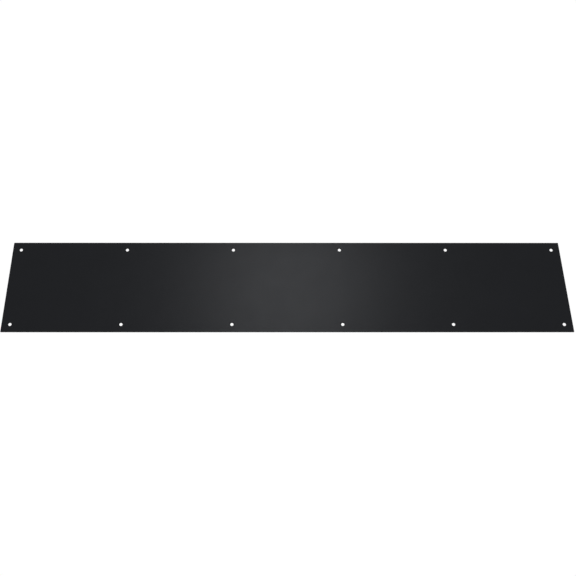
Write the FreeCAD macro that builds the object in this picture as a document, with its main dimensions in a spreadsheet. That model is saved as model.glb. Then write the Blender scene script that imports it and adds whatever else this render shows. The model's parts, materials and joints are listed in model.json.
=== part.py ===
"""Door kick plate: one flat sheet of black-coated metal with two rows of countersunk screw holes.

Frame: the back face, which lies against the door, is the plane Y = 0, and the origin is its centre.
+X runs along the plate, +Z up its height, and the show face looks towards -Y. Millimetres.
"""

import FreeCAD, Part
import Sketcher
import math
import os

Vector = FreeCAD.Vector

# The driving dimensions. Everything else is worked out from these.
DIMENSIONS = {
    "plate_length": 863.6,  # 34 in, for a door 36 in wide
    "plate_height": 152.4,  # 6 in
    "sheet_thickness": 1.27,  # 0.050 in sheet
    "corner_radius": 1.0,  # eased, not sharp
    "edge_bevel": 0.35,  # 45 degree break round the show face
    "hole_edge_distance": 12.7,  # hole centres to the edges, both ways
    "hole_columns": 6,
    "hole_diameter": 4.76,  # 3/16 in
    "countersink_diameter": 6.6,
    "countersink_angle": 82,  # degrees, for an oval-head or flat-head screw
}

HOLE_ROWS = 2
VOLUME_TOLERANCE = 0.001  # share by which a feature's volume may miss its formula


def make_dimension_sheet(doc):
    """The spreadsheet that every feature reads its sizes from."""
    sheet = doc.addObject("Spreadsheet::Sheet", "Dimensions")
    for row, (alias, value) in enumerate(DIMENSIONS.items(), start=1):
        sheet.set(f"A{row}", alias)
        sheet.set(f"B{row}", str(value))
        sheet.setAlias(f"B{row}", alias)
    doc.recompute()
    return sheet


def origin_plane(body, role):
    """One of the body's own origin planes, found by its role."""
    return next(plane for plane in body.Origin.OriginFeatures if plane.Role == role)


def sketch_on_plane(body, name, role):
    """An empty sketch lying on one of the body's own origin planes."""
    sketch = body.newObject("Sketcher::SketchObject", name)
    sketch.AttachmentSupport = (origin_plane(body, role), [""])
    sketch.MapMode = "FlatFace"
    return sketch


def bind(sketch, constraint, name, expression):
    """Adds a dimension to a sketch, names it and ties it to the spreadsheet."""
    index = sketch.addConstraint(constraint)
    sketch.renameConstraint(index, name)
    sketch.setExpression(f"Constraints.{name}", expression)


def outline_sketch(body):
    """The plate's rectangle, centred on the origin, in the plane of the back face."""
    sketch = sketch_on_plane(body, "Outline", "XZ_Plane")
    half_length = DIMENSIONS["plate_length"] / 2
    half_height = DIMENSIONS["plate_height"] / 2
    corners = [
        Vector(-half_length, -half_height, 0),
        Vector(half_length, -half_height, 0),
        Vector(half_length, half_height, 0),
        Vector(-half_length, half_height, 0),
    ]
    bottom, right, top, left = [
        sketch.addGeometry(Part.LineSegment(corners[i], corners[(i + 1) % 4]), False)
        for i in range(4)
    ]
    sides = (bottom, right, top, left)
    for first, second in zip(sides, sides[1:] + sides[:1]):
        sketch.addConstraint(Sketcher.Constraint("Coincident", first, 2, second, 1))
    for side in (bottom, top):
        sketch.addConstraint(Sketcher.Constraint("Horizontal", side))
    for side in (left, right):
        sketch.addConstraint(Sketcher.Constraint("Vertical", side))
    sketch.addConstraint(Sketcher.Constraint("Symmetric", bottom, 1, top, 1, -1, 1))
    bind(
        sketch,
        Sketcher.Constraint("DistanceX", bottom, 1, bottom, 2, 2 * half_length),
        "length",
        "Dimensions.plate_length",
    )
    bind(
        sketch,
        Sketcher.Constraint("DistanceY", right, 1, right, 2, 2 * half_height),
        "height",
        "Dimensions.plate_height",
    )
    return sketch


def hole_sketch(body):
    """The first column of screw holes, one in each row, on the show face."""
    sketch = sketch_on_plane(body, "FirstHoleColumn", "XZ_Plane")
    sketch.setExpression(".AttachmentOffset.Base.z", "Dimensions.sheet_thickness")
    reach_x = DIMENSIONS["plate_length"] / 2 - DIMENSIONS["hole_edge_distance"]
    reach_z = DIMENSIONS["plate_height"] / 2 - DIMENSIONS["hole_edge_distance"]
    radius = DIMENSIONS["hole_diameter"] / 2
    upward = Vector(0, 0, 1)
    for row_name, side in (("lower", -1), ("upper", 1)):
        centre = Vector(-reach_x, side * reach_z, 0)
        circle = sketch.addGeometry(Part.Circle(centre, upward, radius), False)
        bind(
            sketch,
            Sketcher.Constraint("DistanceX", circle, 3, -1, 1, reach_x),
            f"{row_name}_from_middle",
            "Dimensions.plate_length / 2 - Dimensions.hole_edge_distance",
        )
        ends = (circle, 3, -1, 1) if side < 0 else (-1, 1, circle, 3)
        bind(
            sketch,
            Sketcher.Constraint("DistanceY", *ends, reach_z),
            f"{row_name}_row_height",
            "Dimensions.plate_height / 2 - Dimensions.hole_edge_distance",
        )
        bind(
            sketch,
            Sketcher.Constraint("Radius", circle, radius),
            f"{row_name}_radius",
            "Dimensions.hole_diameter / 2",
        )
    return sketch


def edge_names(shape, wanted):
    """The names of the shape's edges that the test picks."""
    return [f"Edge{i}" for i, edge in enumerate(shape.Edges, start=1) if wanted(edge)]


def is_corner_edge(edge):
    """True for the four short edges that run through the sheet at its corners."""
    ends = edge.Vertexes
    along = ends[-1].Point - ends[0].Point
    return abs(abs(along.y) - DIMENSIONS["sheet_thickness"]) < 1e-6


def is_show_face_rim(edge):
    """True for the edges of the show face's outline, corners included, but not the holes'."""
    box = edge.BoundBox
    on_show_face = abs(box.YMin + DIMENSIONS["sheet_thickness"]) < 1e-6 and box.YLength < 1e-6
    to_rim_x = DIMENSIONS["plate_length"] / 2 - max(abs(box.XMin), abs(box.XMax))
    to_rim_z = DIMENSIONS["plate_height"] / 2 - max(abs(box.ZMin), abs(box.ZMax))
    return on_show_face and min(to_rim_x, to_rim_z) < 1e-6


def build_plate(doc):
    """The plate as one body: sheet, eased corners, screw holes, then the bevel round its show face."""
    body = doc.addObject("PartDesign::Body", "plate")
    body.Label = "plate"

    sheet = body.newObject("PartDesign::Pad", "Sheet")
    sheet.Profile = outline_sketch(body)
    sheet.setExpression("Length", "Dimensions.sheet_thickness")
    doc.recompute()

    corners = body.newObject("PartDesign::Fillet", "EasedCorners")
    corners.Base = (sheet, edge_names(sheet.Shape, is_corner_edge))
    corners.setExpression("Radius", "Dimensions.corner_radius")
    doc.recompute()

    hole = body.newObject("PartDesign::Hole", "ScrewHole")
    hole.Profile = hole_sketch(body)
    doc.recompute()
    hole.DepthType = "ThroughAll"
    hole.ThreadType = "None"
    hole.setExpression("Diameter", "Dimensions.hole_diameter")
    hole.HoleCutType = "Countersink"
    hole.HoleCutCustomValues = True
    hole.setExpression("HoleCutDiameter", "Dimensions.countersink_diameter")
    hole.setExpression("HoleCutCountersinkAngle", "Dimensions.countersink_angle")
    doc.recompute()

    columns = body.newObject("PartDesign::LinearPattern", "HoleColumns")
    columns.Originals = [hole]
    columns.Direction = (hole.Profile[0], ["H_Axis"])
    columns.setExpression(
        "Length", "Dimensions.plate_length - 2 * Dimensions.hole_edge_distance"
    )
    columns.setExpression("Occurrences", "Dimensions.hole_columns")
    body.Tip = columns
    doc.recompute()

    bevel = body.newObject("PartDesign::Chamfer", "ShowFaceBevel")
    bevel.Base = (columns, edge_names(columns.Shape, is_show_face_rim))
    bevel.setExpression("Size", "Dimensions.edge_bevel")
    body.Tip = bevel
    doc.recompute()
    return body


def countersink_depth():
    """How far the countersink's cone goes into the sheet before it meets the straight hole."""
    widening = (DIMENSIONS["countersink_diameter"] - DIMENSIONS["hole_diameter"]) / 2
    return widening / math.tan(math.radians(DIMENSIONS["countersink_angle"] / 2))


def expected_volume():
    """The plate's volume from its dimensions alone, to compare with the solid."""
    size = DIMENSIONS
    thickness, bevel = size["sheet_thickness"], size["edge_bevel"]
    hole_radius, sink_radius = size["hole_diameter"] / 2, size["countersink_diameter"] / 2
    depth = countersink_depth()
    corner_waste = (4 - math.pi) * size["corner_radius"] ** 2
    blank = (size["plate_length"] * size["plate_height"] - corner_waste) * thickness
    cone = math.pi * depth * (hole_radius**2 + hole_radius * sink_radius + sink_radius**2) / 3
    straight = math.pi * hole_radius**2 * (thickness - depth)
    holes = HOLE_ROWS * size["hole_columns"] * (cone + straight)
    rim = 2 * (size["plate_length"] + size["plate_height"]) * bevel**2 / 2
    return blank - holes - rim


def check(doc, bodies):
    """Stops the build if a feature failed, a shape isn't one valid solid, or metal is missing."""
    failed = [o.Name for o in doc.Objects if {"Invalid", "Error"} & set(o.State)]
    if failed:
        raise RuntimeError(f"features failed: {failed}")
    for body in bodies:
        if body.Shape.isNull() or not body.Shape.isValid() or len(body.Shape.Solids) != 1:
            raise RuntimeError(f"{body.Label} isn't one valid solid")
    volume, expected = bodies[0].Shape.Volume, expected_volume()
    if abs(volume - expected) > VOLUME_TOLERANCE * expected:
        raise RuntimeError(f"the plate holds {volume:.0f} mm3 and should hold {expected:.0f} mm3")
    print(f"plate: {volume:.1f} mm3, expected {expected:.1f} mm3")


def main():
    doc = FreeCAD.newDocument("KickPlate")
    make_dimension_sheet(doc)
    bodies = [build_plate(doc)]
    check(doc, bodies)
    os.makedirs("parts", exist_ok=True)
    for body in bodies:
        body.Shape.exportStep(f"parts/{body.Label}.step")


main()
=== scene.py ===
import json
import math

import bmesh
import bpy
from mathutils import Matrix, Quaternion, Vector


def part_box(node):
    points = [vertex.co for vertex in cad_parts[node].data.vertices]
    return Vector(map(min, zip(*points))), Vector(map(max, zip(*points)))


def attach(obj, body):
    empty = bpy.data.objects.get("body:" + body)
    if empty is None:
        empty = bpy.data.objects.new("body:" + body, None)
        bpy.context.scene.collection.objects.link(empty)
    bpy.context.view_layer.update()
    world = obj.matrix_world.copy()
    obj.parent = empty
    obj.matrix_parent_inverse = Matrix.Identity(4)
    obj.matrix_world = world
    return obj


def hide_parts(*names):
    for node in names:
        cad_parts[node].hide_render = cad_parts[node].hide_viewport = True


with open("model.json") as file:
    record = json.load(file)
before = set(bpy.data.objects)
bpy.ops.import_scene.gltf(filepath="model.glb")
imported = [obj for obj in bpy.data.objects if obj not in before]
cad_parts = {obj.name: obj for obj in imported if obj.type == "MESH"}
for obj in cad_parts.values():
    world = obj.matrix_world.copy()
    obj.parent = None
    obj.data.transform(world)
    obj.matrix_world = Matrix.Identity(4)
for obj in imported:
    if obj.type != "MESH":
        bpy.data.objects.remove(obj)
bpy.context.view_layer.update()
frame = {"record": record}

# The door kick plate's looks: one detailed mesh that stands for the CAD sheet, its satin black
# powder coat, and a plain white studio. Metres, in the frame of the CAD model: the back face is
# the plane Y = 0, the show face looks towards -Y, +X runs along the plate and +Z up.

MM = 0.001

# The plate's outside comes from the frame, and its screw holes from the mounts of the record.
plate_low, plate_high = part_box("plate")
HALF_LENGTH = (plate_high.x - plate_low.x) / 2
HALF_HEIGHT = (plate_high.z - plate_low.z) / 2
FRONT = plate_low.y
BACK = plate_high.y
BOLT_PATTERNS = [m["dims"] for m in frame["record"]["mounts"] if m["kind"] == "bolt_pattern"]
HOLE_RADIUS = BOLT_PATTERNS[0]["hole_r_mm"] * MM

# The plate's corners, and the rounding of its edges under the coat.
CORNER_RADIUS = 1.0 * MM
CORNER_STEPS = 8
FRONT_EDGE_RADIUS = 0.35 * MM
BACK_EDGE_RADIUS = 0.12 * MM
EDGE_STEPS = 4
EDGE_ATTRIBUTE = "edge"

# The countersinks: a cone that opens towards the show face, with its rims rounded as well.
SINK_RADIUS = 3.3 * MM
SINK_ANGLE = math.radians(82)
SINK_LIP_RADIUS = 0.25 * MM
SINK_BOTTOM_RADIUS = 0.12 * MM
HOLE_BACK_RADIUS = 0.08 * MM

# The mesh's grid: each hole sits in a square cell, and the gaps between cells are cut evenly. A
# cell's border starts at its lower left corner, and the loops round its hole start that way too.
# The rings are loops between the border and the hole, as shares of the way.
CELL_HALF_WIDTH = 9.0 * MM
CELL_SIDE_STEPS = 16
CELL_START_ANGLE = math.radians(225)
CELL_RINGS = (0.35, 0.7)
LONGEST_GRID_STEP = 12.5 * MM


# ---------------------------------------------------------------- sections through the sheet


def rounded_section(corners, radii):
    """(point, outward normal, edge) along a section whose inner corners are rounded.

    A section lies in a plane through the sheet. Its first number grows into the open air, away
    from the metal, and its second is Y. It runs from the show face round to the back face. Edge
    is 1 on the crest of each rounded corner and 0 where it runs out into the flat.
    """
    section = []
    for before, corner, after, radius in zip(corners, corners[1:], corners[2:], radii):
        along_in = (corner - before).normalized()
        along_out = (after - corner).normalized()
        turn = along_in.angle(along_out)
        normal_in = Vector((along_in.y, -along_in.x))
        start = corner - along_in * radius * math.tan(turn / 2)
        centre = start - normal_in * radius
        first_angle = math.atan2(normal_in.y, normal_in.x)
        for step in range(EDGE_STEPS + 1):
            angle = first_angle + turn * step / EDGE_STEPS
            normal = Vector((math.cos(angle), math.sin(angle)))
            edge = math.sin(math.pi * step / EDGE_STEPS)
            section.append((centre + normal * radius, normal, edge))
    return section


def rim_section():
    """The section over the plate's outer edge. Its first number is the distance past the edge."""
    inside = -CORNER_RADIUS
    corners = [(inside, FRONT), (0, FRONT), (0, BACK), (inside, BACK)]
    return rounded_section([Vector(c) for c in corners], [FRONT_EDGE_RADIUS, BACK_EDGE_RADIUS])


def hole_section():
    """The section through a countersunk hole. Its first number is minus the distance from the axis."""
    sink_depth = (SINK_RADIUS - HOLE_RADIUS) / math.tan(SINK_ANGLE / 2)
    corners = [
        (-CELL_HALF_WIDTH, FRONT),
        (-SINK_RADIUS, FRONT),
        (-HOLE_RADIUS, FRONT + sink_depth),
        (-HOLE_RADIUS, BACK),
        (-CELL_HALF_WIDTH, BACK),
    ]
    radii = [SINK_LIP_RADIUS, SINK_BOTTOM_RADIUS, HOLE_BACK_RADIUS]
    return rounded_section([Vector(c) for c in corners], radii)


# ---------------------------------------------------------------- the plate's mesh


def hole_centres():
    """Each screw hole's centre as (x, z)."""
    return [
        (side_x * dims["spacing_x_mm"] * MM / 2, side_z * dims["spacing_y_mm"] * MM / 2)
        for dims in BOLT_PATTERNS
        for side_x in (-1, 1)
        for side_z in (-1, 1)
    ]


def grid_lines(half_size, centres):
    """Places of the grid lines along one direction, and the line at which each cell starts."""
    end = half_size - CORNER_RADIUS
    lines = [-end]
    starts = {}
    for centre in sorted(centres):
        fill_gap(lines, centre - CELL_HALF_WIDTH)
        starts[centre] = len(lines) - 1
        step = 2 * CELL_HALF_WIDTH / CELL_SIDE_STEPS
        lines += [centre - CELL_HALF_WIDTH + step * i for i in range(1, CELL_SIDE_STEPS + 1)]
    fill_gap(lines, end)
    return lines, starts


def fill_gap(lines, place):
    """Adds even grid lines from the last one up to place."""
    last = lines[-1]
    count = math.ceil((place - last) / LONGEST_GRID_STEP)
    lines += [last + (place - last) * i / count for i in range(1, count + 1)]


class PlateMesh:
    """The plate's vertices, with each one's exact normal and edge weight, and its faces."""

    def __init__(self):
        self.bm = bmesh.new()
        self.normals = []
        self.edges = []
        centres = hole_centres()
        self.xs, self.x_starts = grid_lines(HALF_LENGTH, {x for x, z in centres})
        self.zs, self.z_starts = grid_lines(HALF_HEIGHT, {z for x, z in centres})
        self.centres = centres

    def vertex(self, x, y, z, normal, edge=0.0):
        """Adds a vertex. Edge is 1 on the crest of a rounded edge and 0 on the flat."""
        self.normals.append(normal)
        self.edges.append(edge)
        return self.bm.verts.new((x, y, z))

    def bridge(self, first, second):
        """Faces between two closed loops. Where both ends of a side are one vertex, a triangle."""
        for i in range(len(first)):
            j = (i + 1) % len(first)
            corners = [first[i], first[j], second[j], second[i]]
            self.bm.faces.new(list(dict.fromkeys(corners)))

    def sheet_face(self, y, normal):
        """The grid of one face of the sheet, open at the hole cells. Returns its vertices."""
        inside_cell = {
            (self.x_starts[x] + i, self.z_starts[z] + j)
            for x, z in self.centres
            for i in range(1, CELL_SIDE_STEPS)
            for j in range(1, CELL_SIDE_STEPS)
        }
        nodes = {
            (i, j): self.vertex(x, y, z, normal)
            for i, x in enumerate(self.xs)
            for j, z in enumerate(self.zs)
            if (i, j) not in inside_cell
        }
        for i in range(len(self.xs) - 1):
            for j in range(len(self.zs) - 1):
                corners = [(i, j), (i + 1, j), (i + 1, j + 1), (i, j + 1)]
                if all(c in nodes for c in corners):
                    self.bm.faces.new([nodes[c] for c in corners])
        return nodes

    def cell_border(self, nodes, centre):
        """The grid's vertices round one hole's cell, from its lower left corner."""
        i, j = self.x_starts[centre[0]], self.z_starts[centre[1]]
        n = CELL_SIDE_STEPS
        bottom = [(i + k, j) for k in range(n)]
        right = [(i + n, j + k) for k in range(n)]
        top = [(i + n - k, j + n) for k in range(n)]
        left = [(i, j + n - k) for k in range(n)]
        return [nodes[key] for key in bottom + right + top + left]

    def hole(self, front_border, back_border, centre):
        """One hole's skin, from its cell on the show face through to its cell on the back face."""
        count = len(front_border)
        angles = [CELL_START_ANGLE + 2 * math.pi * k / count for k in range(count)]
        ways = [Vector((math.cos(a), math.sin(a))) for a in angles]
        middle = Vector(centre)
        rings = []
        for (minus_radius, y), (normal_in, normal_y), edge in hole_section():
            ring = []
            for way in ways:
                place = middle - way * minus_radius
                normal = (-way.x * normal_in, normal_y, -way.y * normal_in)
                ring.append(self.vertex(place.x, y, place.y, normal, edge))
            rings.append(ring)
        front_rings = self.rings_between(front_border, rings[0], (0, -1, 0))
        back_rings = self.rings_between(rings[-1], back_border, (0, 1, 0))
        loops = [front_border, *front_rings, *rings, *back_rings, back_border]
        for first, second in zip(loops, loops[1:]):
            self.bridge(first, second)

    def rings_between(self, first, second, normal):
        """Loops that turn gradually from one flat loop into the other."""
        return [
            [self.vertex(*a.co.lerp(b.co, share), normal) for a, b in zip(first, second)]
            for share in CELL_RINGS
        ]

    def outline(self):
        """(grid key, direction) pairs round the plate, with several directions at each corner."""
        last_i, last_j = len(self.xs) - 1, len(self.zs) - 1
        corners = [(0, 0), (last_i, 0), (last_i, last_j), (0, last_j)]
        pairs = []
        for side, (i, j) in enumerate(corners):
            for step in range(CORNER_STEPS + 1):
                angle = math.pi + (side + step / CORNER_STEPS) * math.pi / 2
                pairs.append(((i, j), Vector((math.cos(angle), math.sin(angle)))))
            to_i, to_j = corners[(side + 1) % 4]
            reach = max(abs(to_i - i), abs(to_j - j))
            step_i, step_j = (to_i - i) // reach, (to_j - j) // reach
            way = Vector((step_j, -step_i))
            pairs += [((i + step_i * k, j + step_j * k), way) for k in range(1, reach)]
        return pairs

    def rim(self, front_nodes, back_nodes):
        """The band round the plate's edge, from the show face's grid to the back face's."""
        pairs = self.outline()
        loops = [[front_nodes[key] for key, way in pairs]]
        for (past_edge, y), (normal_out, normal_y), edge in rim_section():
            loop = []
            for (i, j), way in pairs:
                reach = CORNER_RADIUS + past_edge
                x, z = self.xs[i] + way.x * reach, self.zs[j] + way.y * reach
                normal = (way.x * normal_out, normal_y, way.y * normal_out)
                loop.append(self.vertex(x, y, z, normal, edge))
            loops.append(loop)
        loops.append([back_nodes[key] for key, way in pairs])
        for first, second in zip(loops, loops[1:]):
            self.bridge(first, second)

    def to_mesh(self, name):
        """The finished mesh. It shades with the exact normals, and it carries the edge weights."""
        bmesh.ops.recalc_face_normals(self.bm, faces=self.bm.faces)
        mesh = bpy.data.meshes.new(name)
        self.bm.to_mesh(mesh)
        self.bm.free()
        mesh.shade_smooth()
        mesh.normals_split_custom_set_from_vertices(self.normals)
        edges = mesh.attributes.new(EDGE_ATTRIBUTE, "FLOAT", "POINT")
        edges.data.foreach_set("value", self.edges)
        return mesh


def make_plate():
    """The kick plate: sheet, rounded rim and countersunk holes, as one closed mesh."""
    plate = PlateMesh()
    front_nodes = plate.sheet_face(FRONT, (0, -1, 0))
    back_nodes = plate.sheet_face(BACK, (0, 1, 0))
    for centre in plate.centres:
        plate.hole(
            plate.cell_border(front_nodes, centre), plate.cell_border(back_nodes, centre), centre
        )
    plate.rim(front_nodes, back_nodes)
    piece = bpy.data.objects.new("kick_plate", plate.to_mesh("kick_plate"))
    bpy.context.scene.collection.objects.link(piece)
    return piece


# ---------------------------------------------------------------- materials


# The coat's colour drifts between the first two. The third is painted shade: a darker black on the
# rounded edges.
COAT_DARK = (0.0126, 0.0138, 0.0166, 1)
COAT_LIGHT = (0.0140, 0.0153, 0.0184, 1)
PAINTED_EDGE_SHADE = (0.0105, 0.0115, 0.0140, 1)
COLOUR_PATCH_SIZE = 60 * MM
COLOUR_DETAIL = 3
GLOSS_PATCH_SIZE = 30 * MM
GLOSS_DETAIL = 2
ROUGHNESS = (0.328, 0.352)
SMOOTHER_ON_EDGES = 0.05

# Size and height of the coat's bumps: the orange peel, and the finer grain of the powder.
BUMPS = ((2.4 * MM, 0.06 * MM), (0.9 * MM, 0.02 * MM))
BUMP_DETAIL = 1

# A noise texture keeps mostly to this part of its range.
NOISE_LOW = 0.3
NOISE_HIGH = 0.7


def new_node(tree, kind, **inputs):
    """A node with some of its inputs set: to a number or colour, or to another node's output."""
    node = tree.nodes.new(kind)
    for name, value in inputs.items():
        set_input(tree, node.inputs[name.replace("_", " ")], value)
    return node


def set_input(tree, socket, value):
    """Links an input to another node's output, or sets it to a number or colour."""
    if isinstance(value, bpy.types.NodeSocket):
        tree.links.new(value, socket)
    else:
        socket.default_value = value


def noise(tree, place, size, detail):
    """A noise whose features are about size across."""
    texture = new_node(tree, "ShaderNodeTexNoise", Vector=place, Scale=1 / size, Detail=detail)
    return texture.outputs["Fac"]


def stretched(tree, value, low, high):
    """A noise that runs from low to high."""
    node = new_node(
        tree,
        "ShaderNodeMapRange",
        Value=value,
        From_Min=NOISE_LOW,
        From_Max=NOISE_HIGH,
        To_Min=low,
        To_Max=high,
    )
    return node.outputs["Result"]


def mixed_colours(tree, share, first, second):
    """first where share is 0, and second where it is 1.

    A Mix node has a socket of each name for every type of data, so they are told apart by identifier.
    """
    node = tree.nodes.new("ShaderNodeMix")
    node.data_type = "RGBA"
    inputs = {socket.identifier: socket for socket in node.inputs}
    outputs = {socket.identifier: socket for socket in node.outputs}
    set_input(tree, inputs["Factor_Float"], share)
    set_input(tree, inputs["A_Color"], first)
    set_input(tree, inputs["B_Color"], second)
    return outputs["Result_Color"]


def coat_colour(tree, place, edge):
    """A slow drift between two blacks, and a darker black painted on the edges as shade."""
    drift = stretched(tree, noise(tree, place, COLOUR_PATCH_SIZE, COLOUR_DETAIL), 0, 1)
    face = mixed_colours(tree, drift, COAT_DARK, COAT_LIGHT)
    # Painted shade: the rounded edges are darkened towards a deeper black.
    return mixed_colours(tree, edge, face, PAINTED_EDGE_SHADE)


def coat_roughness(tree, place, edge):
    """A slow drift in gloss, less what the edges are smoother by."""
    patches = stretched(tree, noise(tree, place, GLOSS_PATCH_SIZE, GLOSS_DETAIL), *ROUGHNESS)
    less = new_node(tree, "ShaderNodeMapRange", Value=edge, To_Min=0, To_Max=SMOOTHER_ON_EDGES)
    difference = tree.nodes.new("ShaderNodeMath")
    difference.operation = "SUBTRACT"
    set_input(tree, difference.inputs[0], patches)
    set_input(tree, difference.inputs[1], less.outputs["Result"])
    return difference.outputs["Value"]


def coat_normal(tree, place):
    """The bumps of the coat, one layer on another."""
    normal = None
    for size, height in BUMPS:
        bumps = noise(tree, place, size, BUMP_DETAIL)
        layer = new_node(tree, "ShaderNodeBump", Height=bumps, Distance=height)
        if normal is not None:
            set_input(tree, layer.inputs["Normal"], normal)
        normal = layer.outputs["Normal"]
    return normal


def black_coating():
    """Satin black powder coat: nearly even, with a faint orange peel."""
    material = bpy.data.materials.new("satin_powder_coat")
    material.use_nodes = True
    tree = material.node_tree
    place = tree.nodes.new("ShaderNodeTexCoord").outputs["Object"]
    edge = tree.nodes.new("ShaderNodeAttribute")
    edge.attribute_name = EDGE_ATTRIBUTE
    shader = tree.nodes["Principled BSDF"]
    set_input(tree, shader.inputs["Base Color"], coat_colour(tree, place, edge.outputs["Fac"]))
    set_input(tree, shader.inputs["Roughness"], coat_roughness(tree, place, edge.outputs["Fac"]))
    set_input(tree, shader.inputs["Normal"], coat_normal(tree, place))
    return material


# ---------------------------------------------------------------- stage, lights and camera

# The camera is below the plate and looks up at its show face. Its angles are in degrees, its lens
# is in millimetres and its shift is a share of the picture's width.
CAMERA_PLACE = (-0.0322, -1.0661, -0.5012)
CAMERA_AZIMUTH = -0.148
CAMERA_ELEVATION = -25.066
CAMERA_ROLL = -0.054
CAMERA_LENS = 47.59
CAMERA_SHIFT = 0.035

# White is a little over 1, so that it stays pure white when the picture is dithered.
WHITE = (1.01, 1.01, 1.01, 1)
SURROUNDINGS = (0.234, 0.239, 0.253, 1)
FLOOR_HEIGHT = -1.3
FLOOR_SIZE = 60
FLOOR_COLOUR = (0.8, 0.8, 0.8, 1)
FLOOR_ROUGHNESS = 0.9

# A light's radiance is how bright it looks, where white is 1. The key light is KEY_DROP below the
# place that the plate's middle reflects into the camera. The fills are by azimuth and elevation.
KEY_DIAMETER = 0.47
KEY_RADIANCE = 1.755
KEY_DROP = 0.013
KEY_COLOUR = (0.985, 1.0, 1.03)
FILL_DIAMETER = 0.4
FILL_RADIANCE = 1.6
FILL_DISTANCE = 1.4
FILL_DIRECTIONS = {
    "front_low": (0, -4),
    "front_left": (-45, -24),
    "front_right": (45, -24),
    "back_left": (-135, -15),
    "back_low": (180, -15),
    "back_right": (135, -15),
}


def direction(azimuth, elevation):
    """The unit vector from the plate towards a place given in degrees. Azimuth 0 is in front."""
    turn, rise = math.radians(azimuth), math.radians(elevation)
    level = math.cos(rise)
    return Vector((math.sin(turn) * level, -math.cos(turn) * level, math.sin(rise)))


def make_camera():
    """The camera, aimed by its azimuth and elevation, then turned about its line of sight."""
    data = bpy.data.cameras.new("camera")
    data.lens = CAMERA_LENS
    data.shift_x = CAMERA_SHIFT
    camera = bpy.data.objects.new("camera", data)
    camera.location = CAMERA_PLACE
    camera.rotation_mode = "QUATERNION"
    aim = (-direction(CAMERA_AZIMUTH, CAMERA_ELEVATION)).to_track_quat("-Z", "Y")
    camera.rotation_quaternion = aim @ Quaternion((0, 0, 1), math.radians(CAMERA_ROLL))
    bpy.context.scene.collection.objects.link(camera)
    bpy.context.scene.camera = camera


def seen_straight(tree):
    """1 where the camera looks straight at a thing, and 0 where the thing lights the plate."""
    return tree.nodes.new("ShaderNodeLightPath").outputs["Is Camera Ray"]


def make_world():
    """White to look at, and dim as a light, as in a studio where only the backdrop is lit."""
    world = bpy.data.worlds.new("studio")
    world.use_nodes = True
    tree = world.node_tree
    colour = mixed_colours(tree, seen_straight(tree), SURROUNDINGS, WHITE)
    tree.links.new(colour, tree.nodes["Background"].inputs["Color"])
    bpy.context.scene.world = world


def make_floor():
    """A floor that looks as white as the world, so that no horizon shows."""
    bpy.ops.mesh.primitive_plane_add(size=FLOOR_SIZE, location=(0, 0, FLOOR_HEIGHT))
    floor = bpy.context.object
    floor.name = "floor"
    material = bpy.data.materials.new("white_floor")
    material.use_nodes = True
    tree = material.node_tree
    lit = tree.nodes["Principled BSDF"]
    lit.inputs["Base Color"].default_value = FLOOR_COLOUR
    lit.inputs["Roughness"].default_value = FLOOR_ROUGHNESS
    seen = new_node(tree, "ShaderNodeEmission", Color=WHITE)
    both = new_node(tree, "ShaderNodeMixShader", Fac=seen_straight(tree))
    tree.links.new(lit.outputs["BSDF"], both.inputs[1])
    tree.links.new(seen.outputs["Emission"], both.inputs[2])
    tree.links.new(both.outputs["Shader"], tree.nodes["Material Output"].inputs["Surface"])
    floor.data.materials.append(material)


def soft_light(name, place, diameter, radiance, colour=(1, 1, 1)):
    """A round softbox aimed at the plate's middle. Its power follows from how bright it looks."""
    data = bpy.data.lights.new(name, "AREA")
    data.shape = "DISK"
    data.size = diameter
    data.energy = radiance * math.pi * math.pi * (diameter / 2) ** 2
    data.color = colour
    light = bpy.data.objects.new(name, data)
    light.location = place
    light.rotation_mode = "QUATERNION"
    light.rotation_quaternion = (-place).to_track_quat("-Z", "Y")
    light.visible_camera = False
    bpy.context.scene.collection.objects.link(light)


def make_lights():
    """The key light's highlight is on the show face's middle. The fills give the other sides theirs."""
    x, y, z = CAMERA_PLACE
    key_place = Vector((-x, y, -z - KEY_DROP))
    soft_light("key", key_place, KEY_DIAMETER, KEY_RADIANCE, KEY_COLOUR)
    for name, (azimuth, elevation) in FILL_DIRECTIONS.items():
        place = direction(azimuth, elevation) * FILL_DISTANCE
        soft_light(name, place, FILL_DIAMETER, FILL_RADIANCE)


# ---------------------------------------------------------------- the scene

plate = make_plate()
plate.data.materials.append(black_coating())
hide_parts("plate")
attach(plate, "root")

make_camera()
make_world()
make_floor()
make_lights()
bpy.context.scene.view_settings.view_transform = "Standard"
